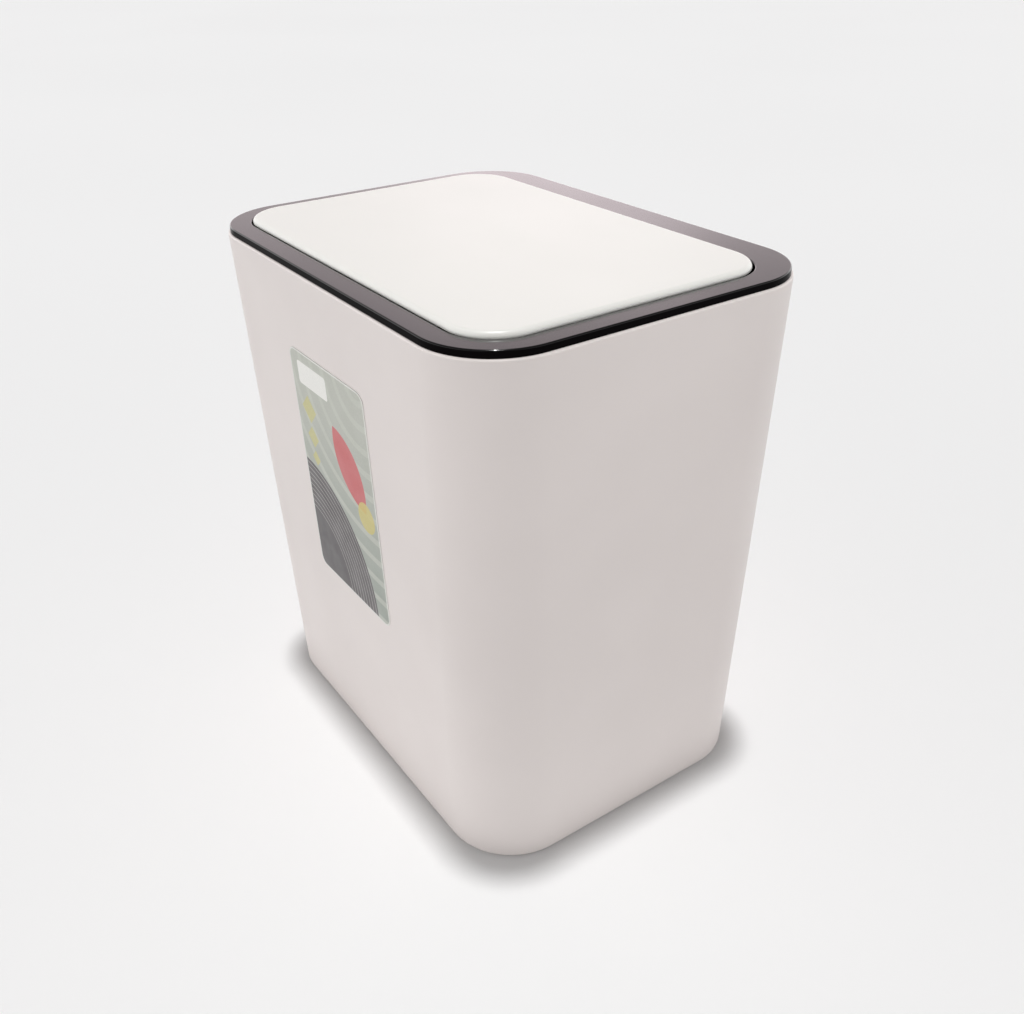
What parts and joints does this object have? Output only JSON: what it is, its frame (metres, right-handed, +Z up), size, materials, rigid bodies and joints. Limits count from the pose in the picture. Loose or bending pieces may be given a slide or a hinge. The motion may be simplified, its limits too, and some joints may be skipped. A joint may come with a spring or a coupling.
{
  "type": "push top countertop bin",
  "caption": "Small tapered rectangular countertop bin with a lift-off rim frame and a push-to-open hinged flap held by a push latch and torsion springs.",
  "frame": {"origin": "on the ground under the middle of the tub, level with the undersides of the foot pads", "axes": "+Z up, -Y towards the front (the long side with the label, where the flap is pressed), +Y towards the hinge, +X to the right seen from the front"},
  "size_m": [0.233, 0.173, 0.2554],
  "materials": {
    "body": "satin",
    "panel": "satin",
    "rim": "gloss",
    "tray": "matte",
    "latch": "matte",
    "cam": "satin",
    "pad": "matte",
    "label": "printed sticker",
    "steel": "bright"
  },
  "bodies": {
    "tub": {"outer_body": "body", "foot_pad_front_left": "pad", "foot_pad_front_right": "pad", "foot_pad_rear_left": "pad", "foot_pad_rear_right": "pad", "front_label": "label"},
    "lid": {"rim_frame": "rim", "hinge_pin_left": "steel", "hinge_pin_right": "steel", "hinge_spring_left": "steel", "hinge_spring_right": "steel", "latch_housing": "latch", "latch_cover": "latch", "latch_wire": "steel", "latch_screw_left": "steel", "latch_screw_right": "steel"},
    "flap": {"flap_panel": "panel", "flap_tray": "tray", "latch_cam": "cam", "cam_screw_left": "steel", "cam_screw_right": "steel", "flap_buffer_left": "pad", "flap_buffer_right": "pad"}
  },
  "joints": [
    {"name": "lid_lift", "type": "slide", "parent": "tub", "child": "lid", "axis": [0, 0, 1], "range_m": [0, 0.06]},
    {"name": "flap_hinge", "type": "hinge", "parent": "lid", "child": "flap", "pos_m": [0, 0.073, 0.2472], "axis": [-1, 0, 0], "range_deg": [-0.8, 78], "deforming": ["hinge_spring_left", "hinge_spring_right", "latch_wire"]}
  ]
}
